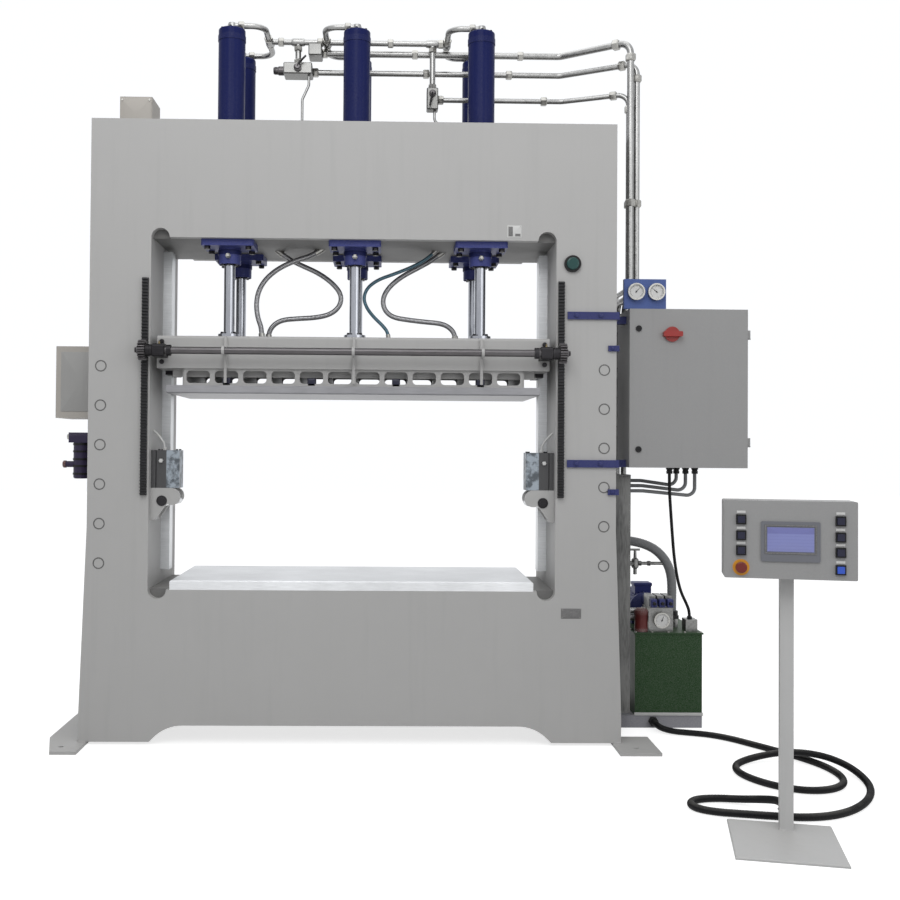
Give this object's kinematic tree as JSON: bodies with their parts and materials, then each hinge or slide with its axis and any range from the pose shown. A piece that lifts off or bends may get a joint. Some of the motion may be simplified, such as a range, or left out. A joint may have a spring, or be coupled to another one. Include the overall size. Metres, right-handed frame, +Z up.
{
  "type": "hydraulic press",
  "caption": "Portal hydraulic press: welded plate frame, guided ram with crown cylinders, levelling shaft, safety latches, side cabinet, oil unit and a control stand on a cable.",
  "frame": {"origin": "on the floor, at the middle of the frame's floor anchor holes", "axes": "+X to the operator's right, towards the cabinet; +Y away from the operator; +Z up"},
  "size_m": [3.8311, 2.5824, 3.605],
  "materials": {
    "frame_paint": "satin",
    "cabinet_paint": "fine texture",
    "blue_paint": "satin",
    "stand_paint": "satin",
    "green_paint": "satin",
    "ground_steel": "ground",
    "hard_chrome": "polished",
    "dark_steel": "oiled",
    "black_plastic": "matt",
    "screen_glass": "gloss",
    "red_plastic": "gloss",
    "green_plastic": "gloss",
    "key_plastic": "gloss",
    "blue_plastic": "gloss",
    "hose_rubber": "matt",
    "grey_conduit": "ribbed"
  },
  "bodies": {
    "frame": {"front_plate": "frame_paint", "rear_plate": "frame_paint", "column_plates": "frame_paint", "frame_decks": "frame_paint", "column_ties": "ground_steel", "foot_plates": "frame_paint", "bolster_plate": "ground_steel", "guide_rails": "ground_steel", "levelling_racks": "dark_steel", "latch_brackets": "frame_paint", "cylinder_barrels": "blue_paint", "cylinder_flanges": "blue_paint", "flange_bolts": "dark_steel", "oil_pipes": "ground_steel", "header_pipes": "ground_steel", "conduit_bends": "grey_conduit", "pipe_valves": "dark_steel", "gauge_panel": "blue_paint", "service_boxes": "frame_paint", "air_service_unit": "blue_paint", "cabinet_brackets": "blue_paint", "cabinet_shell": "cabinet_paint", "cable_glands": "black_plastic", "oil_tank": "green_paint", "tank_skid": "stand_paint", "pump_motor": "blue_paint", "valve_manifold": "ground_steel", "cable_trunk": "cabinet_paint", "pedestal_stand": "frame_paint", "panel_housing": "cabinet_paint", "panel_screen": "screen_glass", "signal_lamp": "green_plastic", "hose_left_outer": "hose_rubber", "hose_left_inner": "hose_rubber", "hose_right_outer": "hose_rubber", "hose_right_inner": "hose_rubber", "suction_conduit": "grey_conduit", "unit_cable": "hose_rubber", "panel_cable": "hose_rubber"},
    "ram": {"ram_beam": "frame_paint", "ram_platen": "ground_steel", "guide_shoes": "dark_steel", "shaft_bearings": "dark_steel", "piston_rods": "hard_chrome"},
    "shaft": {"levelling_shaft": "dark_steel"},
    "pawl_left": {"latch_pawl_left": "ground_steel"},
    "pawl_right": {"latch_pawl_right": "ground_steel"},
    "door": {"cabinet_door": "cabinet_paint"},
    "switch": {"main_switch": "red_plastic"},
    "lock_upper": {"door_lock_upper": "ground_steel"},
    "lock_lower": {"door_lock_lower": "ground_steel"},
    "stop": {"emergency_stop": "red_plastic"},
    "key_left_top": {"button_left_top": "key_plastic"},
    "key_left_middle": {"button_left_middle": "key_plastic"},
    "key_left_low": {"button_left_low": "key_plastic"},
    "key_right_top": {"button_right_top": "key_plastic"},
    "key_right_middle": {"button_right_middle": "key_plastic"},
    "key_right_low": {"button_right_low": "key_plastic"},
    "start_key": {"start_button": "blue_plastic"}
  },
  "joints": [
    {"name": "ram_slide", "type": "slide", "parent": "frame", "child": "ram", "axis": [0, 0, 1], "range_m": [-0.25, 0.32], "deforming": ["hose_left_outer", "hose_left_inner", "hose_right_outer", "hose_right_inner"]},
    {"name": "shaft_turn", "type": "hinge", "parent": "ram", "child": "shaft", "pos_m": [0, -0.417, 1.926], "axis": [1, 0, 0], "range_deg": [-410, 320]},
    {"name": "latch_swing_right", "type": "hinge", "parent": "frame", "child": "pawl_right", "pos_m": [0.945, -0.24, 1.19], "axis": [0, -1, 0], "range_deg": [0, 50]},
    {"name": "latch_swing_left", "type": "hinge", "parent": "frame", "child": "pawl_left", "pos_m": [-0.945, -0.24, 1.19], "axis": [0, 1, 0], "range_deg": [0, 50]},
    {"name": "door_hinge", "type": "hinge", "parent": "frame", "child": "door", "pos_m": [1.994, -0.239, 1.77], "axis": [0, 0, 1], "range_deg": [0, 120]},
    {"name": "main_switch_turn", "type": "hinge", "parent": "door", "child": "switch", "pos_m": [1.598, -0.26, 2.042], "axis": [0, 1, 0], "range_deg": [0, 90]},
    {"name": "lock_upper_turn", "type": "hinge", "parent": "door", "child": "lock_upper", "pos_m": [1.43, -0.26, 2.07], "axis": [0, 1, 0], "range_deg": [0, 90]},
    {"name": "lock_lower_turn", "type": "hinge", "parent": "door", "child": "lock_lower", "pos_m": [1.43, -0.26, 1.462], "axis": [0, 1, 0], "range_deg": [0, 90]},
    {"name": "emergency_stop_push", "type": "slide", "parent": "frame", "child": "stop", "axis": [0.225, 0.9744, 0], "range_m": [0, 0.005]},
    {"name": "button_left_top_push", "type": "slide", "parent": "frame", "child": "key_left_top", "axis": [0.225, 0.9744, 0], "range_m": [0, 0.004], "stiffness_N_per_m": 900},
    {"name": "button_left_middle_push", "type": "slide", "parent": "frame", "child": "key_left_middle", "axis": [0.225, 0.9744, 0], "range_m": [0, 0.004], "stiffness_N_per_m": 900},
    {"name": "button_left_low_push", "type": "slide", "parent": "frame", "child": "key_left_low", "axis": [0.225, 0.9744, 0], "range_m": [0, 0.004], "stiffness_N_per_m": 900},
    {"name": "button_right_top_push", "type": "slide", "parent": "frame", "child": "key_right_top", "axis": [0.225, 0.9744, 0], "range_m": [0, 0.004], "stiffness_N_per_m": 900},
    {"name": "button_right_middle_push", "type": "slide", "parent": "frame", "child": "key_right_middle", "axis": [0.225, 0.9744, 0], "range_m": [0, 0.004], "stiffness_N_per_m": 900},
    {"name": "button_right_low_push", "type": "slide", "parent": "frame", "child": "key_right_low", "axis": [0.225, 0.9744, 0], "range_m": [0, 0.004], "stiffness_N_per_m": 900},
    {"name": "start_button_push", "type": "slide", "parent": "frame", "child": "start_key", "axis": [0.225, 0.9744, 0], "range_m": [0, 0.004], "stiffness_N_per_m": 900}
  ],
  "couplings": [
    {"joint": "shaft_turn", "follows": "ram_slide", "rad_per_m": -22.222}
  ]
}
